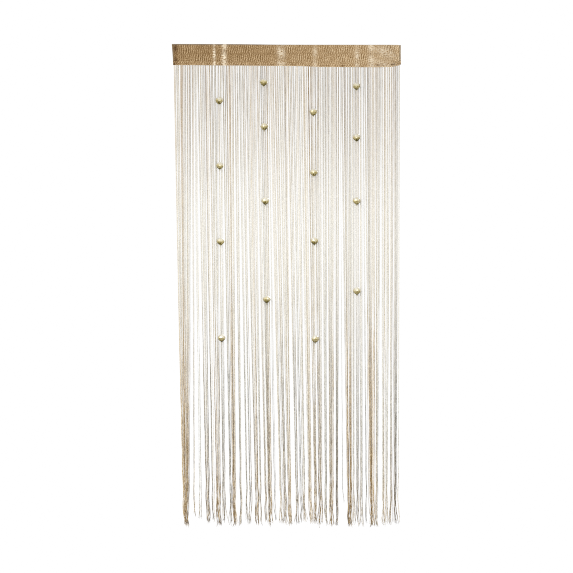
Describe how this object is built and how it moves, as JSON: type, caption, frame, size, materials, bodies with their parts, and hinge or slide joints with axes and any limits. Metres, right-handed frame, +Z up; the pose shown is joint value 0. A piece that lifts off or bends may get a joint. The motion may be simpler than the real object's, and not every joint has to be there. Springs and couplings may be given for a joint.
{
  "type": "bead curtain",
  "caption": "String curtain: a woven heading band with a rod pocket, a fringe of fine hanging strings and faceted beads on some of them, for a doorway or window.",
  "frame": {"origin": "middle of the heading's top edge, which is what the curtain is held up by", "axes": "+Z up, along the hanging strings; +X to the right across the width as seen from the front; -Y is the front, where the beads stand proud"},
  "size_m": [0.9502, 0.0384, 1.9975],
  "materials": {
    "heading": "woven tan-gold metallic yarn with a soft sheen",
    "strings": "fine twisted beige-gold yarn with a light glitter",
    "beads": "polished faceted acrylic, pale champagne gold"
  },
  "bodies": {
    "root": {"heading": "heading", "string_fringe": "strings", "bead_1_1": "beads", "bead_1_2": "beads", "bead_1_3": "beads", "bead_1_4": "beads", "bead_2_1": "beads", "bead_2_2": "beads", "bead_2_3": "beads", "bead_2_4": "beads", "bead_3_1": "beads", "bead_3_2": "beads", "bead_3_3": "beads", "bead_3_4": "beads", "bead_4_1": "beads", "bead_4_2": "beads", "bead_4_3": "beads", "bead_4_4": "beads"}
  },
  "joints": []
}
